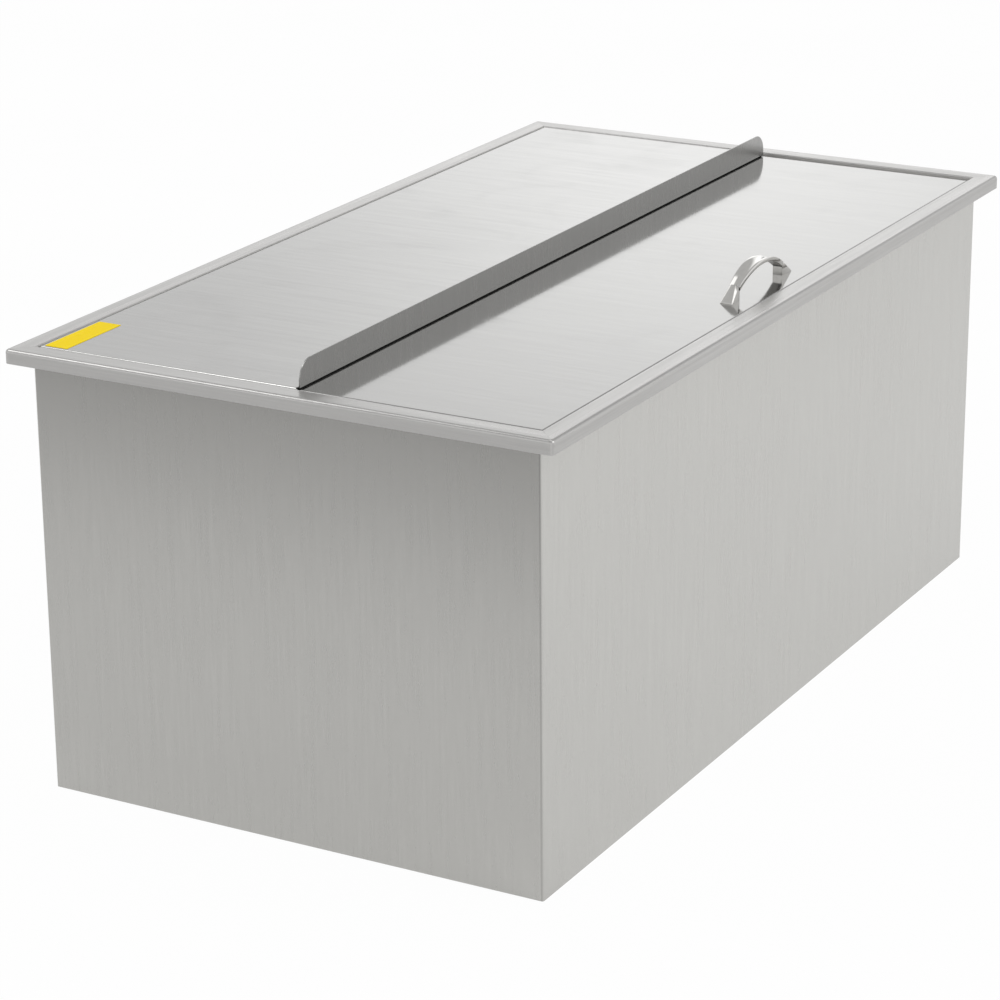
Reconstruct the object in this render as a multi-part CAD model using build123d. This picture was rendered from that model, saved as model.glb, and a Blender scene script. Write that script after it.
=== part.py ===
from build123d import *

import os
from math import atan2, cos, sin, sqrt

# Drop-in ice chest: an insulated steel tub with a flat rim that hangs in a counter, closed by two
# nesting covers. X runs along the chest, the handle side is -Y, and the chest stands on Z = 0.

# Driving dimensions, in millimetres
LENGTH = 914.0
WIDTH = 508.0
HEIGHT = 392.0
SHEET = 0.8
COVER_SHEET = 1.0

# Rim: a strip folded down outside as a lip and inside as a leg
RIM_FLAT = 19.0
RIM_LIP = 12.0
RIM_BEND = 3.0
RIM_CORNER = 4.0
RIM_INNER_BEND = 1.0

# Recess for the covers, and the ledge that carries them
RECESS = 11.0
LEDGE_WIDTH = 25.0
LEDGE_TOP = HEIGHT - RECESS
LEDGE_BOTTOM = LEDGE_TOP - SHEET
RECESS_LENGTH = LENGTH - 2 * RIM_FLAT
RECESS_WIDTH = WIDTH - 2 * RIM_FLAT

# Outer shell and base pan: how far the rim stands out past the shell
END_OVERHANG = 15.4
SIDE_OVERHANG = 17.8
SHELL_LENGTH = LENGTH - 2 * END_OVERHANG
SHELL_WIDTH = WIDTH - 2 * SIDE_OVERHANG
SHELL_BEND = 2.0

# Basin, with coved corners and a floor that falls to the drain
BASIN_LENGTH = RECESS_LENGTH - 2 * LEDGE_WIDTH
BASIN_WIDTH = RECESS_WIDTH - 2 * LEDGE_WIDTH
BASIN_CORNER = 18.0
BASIN_COVE = 10.0
BASIN_FLANGE = 18.0
FLOOR_EDGE = 50.0
FLOOR_FALL = 6.2
FLOOR_LOW = FLOOR_EDGE - FLOOR_FALL
FLOOR_SEAT = 96.0

# Drain fitting in the middle of the floor
DRAIN_WELL_RADIUS = 42.0
DRAIN_FLANGE_RADIUS = 38.0
DRAIN_FLANGE = 2.0
CUP_RADIUS = 24.0
CUP_BORE = 21.5
CUP_BOTTOM = 24.0
CUP_FLOOR = 2.0
TAIL_RADIUS = 13.2
TAIL_BORE = 10.5
TAIL_BOTTOM = 4.0
FIT_PLAY = 0.1
GASKET_RADIUS = 36.0
GASKET = 3.0
LOCKNUT_RADIUS = 33.0
LOCKNUT = 7.0
LOCKNUT_SIDES = 8
STRAINER_RADIUS = 21.0
STRAINER_SLOTS = 5
STRAINER_SLOT = 3.0
STRAINER_PITCH = 6.5
PLUG_LIP_RADIUS = 25.0
PLUG_LIP = 3.0
PLUG_RADIUS = 20.8
PLUG_TIP_RADIUS = 19.0
PLUG_DEPTH = 12.0
PLUG_LEAD = 4.0
PLUG_TAB = 5.0
PLUG_TAB_WIDTH = 20.0
PLUG_TAB_HEIGHT = 12.0
PLUG_TAB_CORNER = 8.0

# Rear cover: flush with the rim, its front edge turned up as a long grip
REAR_SIDE_GAP = 3.0
REAR_BACK = RECESS_WIDTH / 2 - 1.5
REAR_FRONT = -15.5
REAR_BEND = 2.0
REAR_BACK_RETURN = 12.0
GRIP_HEIGHT = 21.0
GRIP_BEND = 1.5
GRIP_CORNER = 17.0
GRIP_INSET = 3.0
BEND_LINE = REAR_FRONT + GRIP_BEND + COVER_SHEET

# Front cover: lower than the rear one, so that it slides back under it
FRONT_DROP = 2.2
FRONT_TOP = HEIGHT - FRONT_DROP
FRONT_SIDE_PLAY = 1.5
FRONT_GAP = 2.4
COVER_OVERLAP = 18.0
FRONT_BEND = 1.8
FRONT_RETURN = 12.0
GLIDE = 1.0
GLIDE_WIDTH = 9.0
GLIDE_INSET = 12.0
HAT_LENGTH = 800.0
HAT_CROWN = 34.0
HAT_BRIM = 12.0

# Handle: an arched bow between two wedge-shaped ends
HANDLE_Y = -208.8
HANDLE_LENGTH = 121.0
HANDLE_CENTRES = 96.0
HANDLE_TOP = 25.5
BOW_THICKNESS = 3.8
BOW_MIDDLE = 12.6
BOW_END = 9.2
BOW_DISH = 0.8
COLLAR_IN = (43.3, 8.2)
COLLAR_TILT = 26.0
END_INSIDE = 43.3
END_WIDTH = 11.5
END_SHOULDER = 46.0
END_HEIGHT = 13.4
END_TIP_HEIGHT = 0.9
END_RIDGE = 1.9
END_CHAMFER = 2.0
SCREW_RADIUS = 2.0
SCREW_HEAD_RADIUS = 3.6
SCREW_HEAD = 2.4
SCREW_DEPTH = 6.0
WASHER_RADIUS = 5.0
WASHER = 0.8
THREAD_PLAY = 0.05
SCREW_HOLE_PLAY = 0.3


def block(length, width, corner, low, high):
    """An upright block between two heights, with rounded vertical edges."""
    plan = RectangleRounded(length, width, corner)
    return extrude(Pos(0, 0, low) * plan, high - low)


def slab(length, width, low, high):
    """A plain upright block between two heights, with sharp edges."""
    return Pos(0, 0, low) * Box(length, width, high - low, align=(Align.CENTER, Align.CENTER, Align.MIN))


def top_edges(solid):
    """The edges of a solid's highest face."""
    return solid.faces().sort_by(Axis.Z)[-1].edges()


def bottom_edges(solid):
    """The edges of a solid's lowest face."""
    return solid.faces().sort_by(Axis.Z)[0].edges()


def turned(points):
    """A solid turned about Z from its half section, given as radius and height."""
    outline = Polyline(*[(radius, 0, height) for radius, height in points], close=True)
    return revolve(make_face(outline), Axis.Z)


def drill(x, y, radius, low, high):
    """An upright cylinder between two heights, for cutting a hole."""
    return Pos(x, y, low) * Cylinder(radius, high - low, align=(Align.CENTER, Align.CENTER, Align.MIN))


# Rim and ledge

def mitred(frame, length, width):
    """Cut a rectangular frame at 45 degrees in its corners, into its four sides."""
    end = length / 2
    side = width / 2
    reach = side / 2
    inner_end = end - reach
    inner_side = side - reach
    long_side = [(-end, -side), (end, -side), (inner_end, -inner_side), (-inner_end, -inner_side)]
    short_side = [(-end, -side), (-inner_end, -inner_side), (-inner_end, inner_side), (-end, side)]
    front = extrude(Polygon(*long_side, align=None), HEIGHT)
    left = extrude(Polygon(*short_side, align=None), HEIGHT)
    cutters = {"front": front, "back": Rot(0, 0, 180) * front, "left": left, "right": Rot(0, 0, 180) * left}
    return {name: frame & cutter for name, cutter in cutters.items()}


def rim_frame():
    """The whole rim: flat top, lip turned down outside and leg turned down inside."""
    lip_bottom = HEIGHT - RIM_LIP
    skin = block(LENGTH, WIDTH, RIM_CORNER, lip_bottom, HEIGHT)
    skin = fillet(top_edges(skin), RIM_BEND)
    hollow = block(LENGTH - 2 * SHEET, WIDTH - 2 * SHEET, RIM_CORNER - SHEET, lip_bottom, HEIGHT - SHEET)
    hollow = chamfer(top_edges(hollow), RIM_BEND - SHEET)
    leg_length = RECESS_LENGTH + 2 * SHEET
    leg_width = RECESS_WIDTH + 2 * SHEET
    legs = slab(leg_length, leg_width, LEDGE_TOP, HEIGHT - SHEET)
    opening = slab(RECESS_LENGTH, RECESS_WIDTH, LEDGE_TOP, HEIGHT)
    frame = (skin - hollow) + legs - opening
    inner_wire = frame.faces().sort_by(Axis.Z)[-1].inner_wires()[0]
    return fillet(inner_wire.edges(), RIM_INNER_BEND)


def ledge_frame():
    """The flat ledge that caps the shell: the rim's legs stand on it and both covers rest on it."""
    plate = block(SHELL_LENGTH, SHELL_WIDTH, SHELL_BEND, LEDGE_BOTTOM, LEDGE_TOP)
    return plate - block(BASIN_LENGTH, BASIN_WIDTH, BASIN_CORNER, LEDGE_BOTTOM, LEDGE_TOP)


# Shell, base and basin

def outer_shell():
    """The wrapper round the four sides, up to the ledge that caps it."""
    outside = block(SHELL_LENGTH, SHELL_WIDTH, SHELL_BEND, 0, LEDGE_BOTTOM)
    inner_length = SHELL_LENGTH - 2 * SHEET
    inner_width = SHELL_WIDTH - 2 * SHEET
    return outside - block(inner_length, inner_width, SHELL_BEND - SHEET, 0, LEDGE_BOTTOM)


def bottom_pan():
    """The base sheet, welded in flush with the shell's lower edge, with the well for the drain."""
    plate = block(SHELL_LENGTH - 2 * SHEET, SHELL_WIDTH - 2 * SHEET, SHELL_BEND - SHEET, 0, SHEET)
    return plate - drill(0, 0, DRAIN_WELL_RADIUS, 0, SHEET)


def hip(length, width, top):
    """A low hipped form, upside down: it falls from a rectangle to the drain's seat in four planes."""
    low = top - FLOOR_FALL
    seat = FLOOR_SEAT / 2
    fall_x = Polygon((-length / 2, top), (length / 2, top), (seat, low), (-seat, low), align=None)
    fall_y = Polygon((-width / 2, top), (width / 2, top), (seat, low), (-seat, low), align=None)
    along = extrude(Plane.XZ * fall_x, width, both=True)
    across = extrude(Plane.YZ * fall_y, length, both=True)
    return along & across


def basin_form(grown):
    """The space inside the basin, or its outside where it is grown by the sheet."""
    length = BASIN_LENGTH + 2 * grown
    width = BASIN_WIDTH + 2 * grown
    floor = FLOOR_EDGE - grown
    tub = block(length, width, BASIN_CORNER + grown, floor, LEDGE_BOTTOM)
    tub = fillet(bottom_edges(tub), BASIN_COVE)
    return tub + hip(length - 2 * BASIN_CORNER, width - 2 * BASIN_CORNER, floor)


def inner_basin():
    """The welded tub, with its flange under the ledge and the drain hole in its floor."""
    flange_length = BASIN_LENGTH + 2 * BASIN_FLANGE
    flange_width = BASIN_WIDTH + 2 * BASIN_FLANGE
    flange = slab(flange_length, flange_width, LEDGE_BOTTOM - SHEET, LEDGE_BOTTOM)
    drain_hole = drill(0, 0, CUP_RADIUS + FIT_PLAY, 0, FLOOR_EDGE)
    return basin_form(SHEET) + flange - basin_form(0) - drain_hole


def insulation():
    """Foam boards round the basin, and one below it that is cut to the fall of its floor."""
    outer_length = SHELL_LENGTH - 2 * SHEET
    outer_width = SHELL_WIDTH - 2 * SHEET
    end_thickness = (outer_length - BASIN_LENGTH) / 2 - SHEET
    side_thickness = (outer_width - BASIN_WIDTH) / 2 - SHEET
    low = FLOOR_EDGE - SHEET
    top = LEDGE_BOTTOM - SHEET
    side_board = slab(outer_length - 2 * SHELL_BEND, side_thickness, low, top)
    end_board = slab(end_thickness, BASIN_WIDTH + 2 * SHEET, low, top)
    floor_board = slab(outer_length - 2 * SHELL_BEND, outer_width - 2 * SHELL_BEND, SHEET, low)
    side_y = (outer_width - side_thickness) / 2
    end_x = (outer_length - end_thickness) / 2
    return {
        "insulation_front": Pos(0, -side_y, 0) * side_board,
        "insulation_back": Pos(0, side_y, 0) * side_board,
        "insulation_left": Pos(-end_x, 0, 0) * end_board,
        "insulation_right": Pos(end_x, 0, 0) * end_board,
        "insulation_base": floor_board - basin_form(SHEET) - drill(0, 0, DRAIN_WELL_RADIUS, 0, low),
    }


# Drain

def drain_body():
    """Flange, cup and threaded tail of the drain, in one piece."""
    top = FLOOR_LOW + DRAIN_FLANGE
    return turned([
        (CUP_BORE, top), (DRAIN_FLANGE_RADIUS, top),
        (DRAIN_FLANGE_RADIUS, FLOOR_LOW), (CUP_RADIUS, FLOOR_LOW), (CUP_RADIUS, CUP_BOTTOM),
        (TAIL_RADIUS, CUP_BOTTOM), (TAIL_RADIUS, TAIL_BOTTOM), (TAIL_BORE, TAIL_BOTTOM),
        (TAIL_BORE, CUP_BOTTOM + CUP_FLOOR), (CUP_BORE, CUP_BOTTOM + CUP_FLOOR),
    ])


def drain_gasket():
    """The rubber ring pressed against the underside of the floor."""
    top = FLOOR_LOW - SHEET
    ring = drill(0, 0, GASKET_RADIUS, top - GASKET, top)
    return ring - drill(0, 0, CUP_RADIUS + FIT_PLAY, top - GASKET, top)


def drain_locknut():
    """The nut that pulls the drain down on its gasket."""
    top = FLOOR_LOW - SHEET - GASKET
    nut = extrude(Pos(0, 0, top - LOCKNUT) * RegularPolygon(LOCKNUT_RADIUS, LOCKNUT_SIDES), LOCKNUT)
    return nut - drill(0, 0, CUP_RADIUS + FIT_PLAY, top - LOCKNUT, top)


def drain_strainer():
    """A disc on the floor of the cup, with slots that let the water through."""
    low = CUP_BOTTOM + CUP_FLOOR
    high = low + COVER_SHEET
    disc = drill(0, 0, STRAINER_RADIUS, low, high)
    for turn in range(STRAINER_SLOTS):
        x = (turn - (STRAINER_SLOTS - 1) / 2) * STRAINER_PITCH
        reach = sqrt(STRAINER_RADIUS ** 2 - x ** 2) - STRAINER_SLOT
        disc -= Pos(x, 0, 0) * slab(STRAINER_SLOT, 2 * reach, low, high)
    return disc


def drain_plug():
    """The rubber stopper: its lip seals on the drain's flange, and its tab is pulled by hand."""
    seat = FLOOR_LOW + DRAIN_FLANGE
    lip_top = seat + PLUG_LIP
    stopper = turned([
        (0, seat - PLUG_DEPTH), (PLUG_TIP_RADIUS, seat - PLUG_DEPTH),
        (PLUG_RADIUS, seat - PLUG_DEPTH + PLUG_LEAD), (PLUG_RADIUS, seat),
        (PLUG_LIP_RADIUS, seat), (PLUG_LIP_RADIUS, lip_top), (0, lip_top),
    ])
    tab = slab(PLUG_TAB_WIDTH, PLUG_TAB, lip_top, lip_top + PLUG_TAB_HEIGHT)
    tab = fillet(tab.edges().filter_by(Axis.Y).group_by(Axis.Z)[-1], PLUG_TAB_CORNER)
    return stopper + tab


# Covers

def rear_cover_pan():
    """The whole folded sheet behind the grip: top, turned-down sides and back, and the back's return."""
    half_length = RECESS_LENGTH / 2 - REAR_SIDE_GAP
    depth = REAR_BACK - BEND_LINE
    middle = (REAR_BACK + BEND_LINE) / 2
    t = COVER_SHEET
    pan = Pos(0, middle, (LEDGE_TOP + HEIGHT) / 2) * Box(2 * half_length, depth, RECESS)
    pan = fillet(top_edges(pan) - top_edges(pan).group_by(Axis.Y)[0], REAR_BEND)
    inside = Pos(0, middle - t, 0) * Box(2 * (half_length - t), depth, 2 * (HEIGHT - t))
    inside = fillet(top_edges(inside) - top_edges(inside).group_by(Axis.Y)[0], REAR_BEND - t)
    return_strip = Box(2 * (half_length - t), REAR_BACK_RETURN, t)
    return_strip = Pos(0, REAR_BACK - t - REAR_BACK_RETURN / 2, LEDGE_TOP + t / 2) * return_strip
    return (pan - inside) + return_strip


def rear_cover():
    """The rear cover's top sheet down to the end of its bends, with the grip."""
    top_sheet = rear_cover_pan() & slab(LENGTH, WIDTH, HEIGHT - REAR_BEND, HEIGHT)
    return top_sheet + rear_grip(BEND_LINE, RECESS_LENGTH / 2 - REAR_SIDE_GAP - GRIP_INSET)


def rear_cover_edges():
    """The rear cover's turned-down sides and back, below the bends."""
    edges = rear_cover_pan() & slab(LENGTH, WIDTH, LEDGE_TOP, HEIGHT - REAR_BEND)
    cut = Plane(origin=(0, REAR_BACK - COVER_SHEET - REAR_BACK_RETURN, 0), z_dir=(0, 1, 0))
    return split(edges, cut, Keep.BOTTOM).solids() + split(edges, cut, Keep.TOP).solids()


def rear_grip(bend_line, half_length):
    """The front edge of the rear cover: a bend and an upright flange with rounded corners."""
    outer = GRIP_BEND + COVER_SHEET
    top = HEIGHT + GRIP_HEIGHT
    low = HEIGHT - COVER_SHEET
    with BuildPart() as grip:
        with BuildSketch(Plane.YZ.offset(-half_length)):
            with BuildLine():
                Line((bend_line, low), (bend_line, HEIGHT))
                RadiusArc((bend_line, HEIGHT), (bend_line - GRIP_BEND, HEIGHT + GRIP_BEND), GRIP_BEND)
                Line((bend_line - GRIP_BEND, HEIGHT + GRIP_BEND), (bend_line - GRIP_BEND, top))
                Line((bend_line - GRIP_BEND, top), (REAR_FRONT, top))
                Line((REAR_FRONT, top), (REAR_FRONT, low + outer))
                RadiusArc((REAR_FRONT, low + outer), (bend_line, low), -outer)
            make_face()
        extrude(amount=2 * half_length)
        corners = grip.edges().filter_by(Axis.Y).group_by(Axis.Z)[-1]
        fillet(corners, GRIP_CORNER)
    return grip.part


def front_cover_box():
    """The length, depth and middle of the front cover, from its play in the recess."""
    length = RECESS_LENGTH - 2 * (REAR_SIDE_GAP + COVER_SHEET + FRONT_SIDE_PLAY)
    front = -RECESS_WIDTH / 2 + FRONT_GAP
    back = REAR_FRONT + COVER_OVERLAP
    return length, back - front, (front + back) / 2


def front_cover_pan():
    """The whole folded sheet, its edges turned down and then in, about its own middle."""
    length, depth, _ = front_cover_box()
    t = COVER_SHEET
    low = LEDGE_TOP + GLIDE
    pan = fillet(top_edges(slab(length, depth, low, FRONT_TOP)), FRONT_BEND)
    pan -= slab(length - 2 * t, depth - 2 * t, low + t, FRONT_TOP - t)
    return pan - slab(length - 2 * FRONT_RETURN, depth - 2 * FRONT_RETURN, low, low + t)


def front_cover():
    """The front cover's top sheet down to the end of its bends, with the handle's screw holes."""
    _, _, middle = front_cover_box()
    low = FRONT_TOP - FRONT_BEND
    top_sheet = Pos(0, middle, 0) * (front_cover_pan() & slab(LENGTH, WIDTH, low, FRONT_TOP))
    for x in (-HANDLE_CENTRES / 2, HANDLE_CENTRES / 2):
        top_sheet -= drill(x, HANDLE_Y, SCREW_RADIUS + SCREW_HOLE_PLAY, low, FRONT_TOP)
    return top_sheet


def front_cover_edges():
    """The front cover's four turned-down edges, mitred at the corners."""
    length, depth, middle = front_cover_box()
    edges = front_cover_pan() & slab(LENGTH, WIDTH, LEDGE_TOP, FRONT_TOP - FRONT_BEND)
    return [Pos(0, middle, 0) * edge for edge in mitred(edges, length, depth).values()]


def front_cover_stiffener():
    """A folded hat channel under the middle of the front cover."""
    _, _, middle = front_cover_box()
    t = COVER_SHEET
    top = FRONT_TOP - t
    low = LEDGE_TOP + GLIDE
    crown = Box(HAT_LENGTH, HAT_CROWN, top - low)
    crown -= Pos(0, 0, t / 2) * Box(HAT_LENGTH, HAT_CROWN - 2 * t, top - low - t)
    brim = Box(HAT_LENGTH, HAT_BRIM, t)
    hat = Pos(0, 0, (top + low) / 2) * crown
    for side in (-1, 1):
        hat += Pos(0, side * (HAT_CROWN + HAT_BRIM) / 2, top - t / 2) * brim
    return Pos(0, middle, 0) * hat


def front_cover_glides():
    """Nylon strips under the turned-in ends of the front cover, which slide on the ledge."""
    length, depth, middle = front_cover_box()
    strip = Box(GLIDE_WIDTH, depth - 2 * GLIDE_INSET, GLIDE)
    x = length / 2 - COVER_SHEET - GLIDE_WIDTH / 2
    return [Pos(side * x, middle, LEDGE_TOP + GLIDE / 2) * strip for side in (-1, 1)]


# Handle, drawn about its own middle on the cover's surface and then set in place

def collar_plane(side):
    """The tilted plane where the bow meets an end piece; its normal points to the end."""
    x, z = COLLAR_IN
    tilt = COLLAR_TILT * side
    return Plane(origin=(side * x, 0, z), x_dir=(0, 1, 0), z_dir=Vector(side, 0, 0).rotate(Axis.Y, tilt))


def arc_radius(half_chord, rise):
    """The radius of an arc from half its chord and its rise."""
    return (half_chord ** 2 + rise ** 2) / (2 * rise)


def handle_bow():
    """The arched band: an arch from the side, a slim leaf from above, dished along its top."""
    x, z = COLLAR_IN
    inner = arc_radius(x, HANDLE_TOP - BOW_THICKNESS - z)
    centre = HANDLE_TOP - BOW_THICKNESS - inner
    foot_angle = atan2(x, z - centre)
    outer = inner + BOW_THICKNESS
    reach = foot_angle + BOW_THICKNESS / outer
    start = (-sin(reach), cos(reach))
    with BuildPart() as arch:
        with BuildSketch(Plane.XZ.offset(-BOW_MIDDLE)):
            with BuildLine():
                for radius in (inner, outer):
                    left = (radius * start[0], centre + radius * start[1])
                    right = (-left[0], left[1])
                    ThreePointArc(left, (0, centre + radius), right)
                for side in (1, -1):
                    near = (side * inner * start[0], centre + inner * start[1])
                    far = (side * outer * start[0], centre + outer * start[1])
                    Line(near, far)
            make_face()
        extrude(amount=2 * BOW_MIDDLE)
    leaf_end = x + BOW_THICKNESS
    with BuildSketch() as leaf:
        with BuildLine():
            for side in (-1, 1):
                ends = side * BOW_END / 2
                ThreePointArc((-leaf_end, ends), (0, side * BOW_MIDDLE / 2), (leaf_end, ends))
            Line((-leaf_end, -BOW_END / 2), (-leaf_end, BOW_END / 2))
            Line((leaf_end, -BOW_END / 2), (leaf_end, BOW_END / 2))
        make_face()
    band = arch.part & extrude(leaf.sketch, HANDLE_TOP)
    dish = arc_radius(BOW_END / 2, BOW_DISH)
    ring = Pos(outer - BOW_DISH + dish, 0, 0) * Circle(dish)
    groove = revolve(Plane.XY * ring, Axis.Y)
    band -= Pos(0, 0, centre) * groove
    for side in (-1, 1):
        band = split(band, collar_plane(side), Keep.BOTTOM)
    return band


def plane_through(a, b, c):
    """The plane through three points, with its normal turned upward."""
    normal = (Vector(b) - Vector(a)).cross(Vector(c) - Vector(a)).normalized()
    return Plane(origin=a, z_dir=normal if normal.Z > 0 else -normal)


def handle_end(side):
    """A faceted wedge that spreads and thins towards its tip, bored for its screw."""
    tip = HANDLE_LENGTH / 2
    inside = END_INSIDE
    shoulder_x = END_SHOULDER
    top = END_HEIGHT
    outline = [(inside, 0), (tip, 0), (tip, END_TIP_HEIGHT), (shoulder_x, top), (inside, top)]
    wedge = extrude(Plane.XZ * Polygon(*outline, align=None), END_WIDTH / 2, both=True)
    for hand in (-1, 1):
        root_y = hand * BOW_END / 2
        tip_y = hand * END_WIDTH / 2
        across = Vector((BOW_END - END_WIDTH) / 2, (tip - shoulder_x) * hand, 0)
        flank = Plane(origin=(shoulder_x, root_y, 0), z_dir=across)
        ridge = (shoulder_x, hand * END_RIDGE, top)
        shoulder = (shoulder_x, root_y, top - END_CHAMFER)
        facet = plane_through(ridge, shoulder, (tip, tip_y, END_TIP_HEIGHT / 2))
        wedge = split(wedge, flank, Keep.BOTTOM)
        wedge = split(wedge, facet, Keep.BOTTOM)
    wedge = split(wedge, collar_plane(1), Keep.TOP)
    wedge -= drill(HANDLE_CENTRES / 2, 0, SCREW_RADIUS + THREAD_PLAY, 0, SCREW_DEPTH)
    return wedge if side > 0 else Rot(0, 0, 180) * wedge


def handle_screws():
    """Two pan-head screws, up through the cover into the end pieces."""
    shank_end = SCREW_DEPTH - SCREW_RADIUS / 2
    head_top = -COVER_SHEET - WASHER
    screws = []
    for x in (-HANDLE_CENTRES / 2, HANDLE_CENTRES / 2):
        head = drill(0, 0, SCREW_HEAD_RADIUS, head_top - SCREW_HEAD, head_top)
        screws.append(Pos(x, 0, 0) * (head + drill(0, 0, SCREW_RADIUS, head_top, shank_end)))
    return screws


def handle_washers():
    """The washers under the two screw heads."""
    top = -COVER_SHEET
    ring = drill(0, 0, WASHER_RADIUS, top - WASHER, top)
    ring -= drill(0, 0, SCREW_RADIUS + SCREW_HOLE_PLAY, top - WASHER, top)
    return [Pos(x, 0, 0) * ring for x in (-HANDLE_CENTRES / 2, HANDLE_CENTRES / 2)]


def on_front_cover(piece):
    """Move a handle piece, or a list of them, to its place on the front cover."""
    place = Pos(0, HANDLE_Y, FRONT_TOP)
    return [place * one for one in piece] if isinstance(piece, list) else place * piece


def sub_parts():
    """Every piece of the chest by the name of its node."""
    parts = {"rim_" + side: strip for side, strip in mitred(rim_frame(), LENGTH, WIDTH).items()}
    parts |= {"ledge_" + side: strip for side, strip in mitred(ledge_frame(), LENGTH, WIDTH).items()}
    parts |= insulation()
    parts |= {
        "outer_shell": outer_shell(),
        "bottom_pan": bottom_pan(),
        "inner_basin": inner_basin(),
        "drain_body": drain_body(),
        "drain_gasket": drain_gasket(),
        "drain_locknut": drain_locknut(),
        "drain_strainer": drain_strainer(),
        "drain_plug": drain_plug(),
        "rear_cover": rear_cover(),
        "rear_cover_edges": rear_cover_edges(),
        "front_cover": front_cover(),
        "front_cover_edges": front_cover_edges(),
        "front_cover_stiffener": front_cover_stiffener(),
        "front_cover_glides": front_cover_glides(),
        "handle_bow": on_front_cover(handle_bow()),
        "handle_end_left": on_front_cover(handle_end(-1)),
        "handle_end_right": on_front_cover(handle_end(1)),
        "handle_screws": on_front_cover(handle_screws()),
        "handle_washers": on_front_cover(handle_washers()),
    }
    return parts


os.makedirs("parts", exist_ok=True)
for name, part in sub_parts().items():
    solids = part if isinstance(part, list) else [part]
    export_step(Compound(children=[Part() + one for one in solids]), f"parts/{name}.step")
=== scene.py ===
"""Looks of a drop-in ice chest: brushed steel, a nickel handle and a blank label, on a pale floor."""
import math

import bmesh
import bpy
from bpy.props import FloatProperty, FloatVectorProperty, IntProperty, PointerProperty
from mathutils import Matrix, Vector


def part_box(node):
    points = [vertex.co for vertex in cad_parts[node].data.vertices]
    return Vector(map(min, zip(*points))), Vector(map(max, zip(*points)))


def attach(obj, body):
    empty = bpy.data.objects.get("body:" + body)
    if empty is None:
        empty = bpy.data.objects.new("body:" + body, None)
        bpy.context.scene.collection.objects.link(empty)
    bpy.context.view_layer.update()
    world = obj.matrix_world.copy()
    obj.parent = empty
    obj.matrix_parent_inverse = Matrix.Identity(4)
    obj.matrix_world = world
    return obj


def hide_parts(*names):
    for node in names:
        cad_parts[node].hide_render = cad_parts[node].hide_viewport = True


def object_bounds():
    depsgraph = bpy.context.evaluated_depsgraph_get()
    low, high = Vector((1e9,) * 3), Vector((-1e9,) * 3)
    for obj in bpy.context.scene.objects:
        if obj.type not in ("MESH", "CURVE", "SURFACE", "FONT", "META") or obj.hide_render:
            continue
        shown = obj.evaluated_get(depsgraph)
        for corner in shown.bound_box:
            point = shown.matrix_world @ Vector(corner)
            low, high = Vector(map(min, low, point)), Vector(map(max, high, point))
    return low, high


bl_info = {
    "name": "Drop-in ice chest",
    "version": (1, 0, 0),
    "blender": (4, 5, 0),
    "location": "View3D > Sidebar > Ice chest",
    "description": "Dresses the packed ice chest in steel, nickel, rubber and foam, and sets its stage",
    "category": "Object",
}

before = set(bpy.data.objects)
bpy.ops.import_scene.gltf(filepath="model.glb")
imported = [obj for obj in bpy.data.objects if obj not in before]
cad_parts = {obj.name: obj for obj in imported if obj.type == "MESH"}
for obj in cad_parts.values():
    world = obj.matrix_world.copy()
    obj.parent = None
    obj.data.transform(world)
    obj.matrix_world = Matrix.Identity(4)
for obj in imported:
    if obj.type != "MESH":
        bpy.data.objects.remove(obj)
CAD_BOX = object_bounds()

MM = 0.001
BEVEL_ANGLE = math.radians(25)
FLAT_ANGLE = math.radians(0.5)
MERGE_DISTANCE = 0.002 * MM

# Keeps the materials made here apart from those that the frame brings
PREFIX = "chest_"

# Places taken from the frame
CHEST_HIGH = Vector(CAD_BOX[1])
SHELL_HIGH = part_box("outer_shell")[1]
RIM_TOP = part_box("rim_front")[1].z
RECESS_END, RECESS_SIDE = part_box("rim_right")[0].x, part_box("rim_back")[0].y
REAR_LOW, REAR_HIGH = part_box("rear_cover")
BOW_LOW, BOW_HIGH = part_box("handle_bow")
BOW_FOOT = max((vertex.co.copy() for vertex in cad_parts["handle_bow"].data.vertices),
               key=lambda co: co.x)
DRAIN_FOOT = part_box("drain_body")[0].z
LOCKNUT_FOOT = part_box("drain_locknut")[0].z

# How far the normal of the slanted joints between the handle's bow and its ends points out and down
JOINT_NORMAL = (0.90, 0.44)

# Brushed grain: noise cells per metre across the grain, and the fine scratches' share of the height
FINE_SCALE, STREAK_SCALE, BROAD_SCALE, CLOUD_SCALE = 2400.0, 520.0, 190.0, 4.5
FINE_SHARE = 0.4
CLOUD_TONE = 0.03
NOISE_MIDDLE = 0.5

# How much smoother a surface gets as its tone gets lighter
STREAK_POLISH, PORE_POLISH = 0.6, 0.4
PORE_DEPTH = 0.1 * MM


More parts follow.
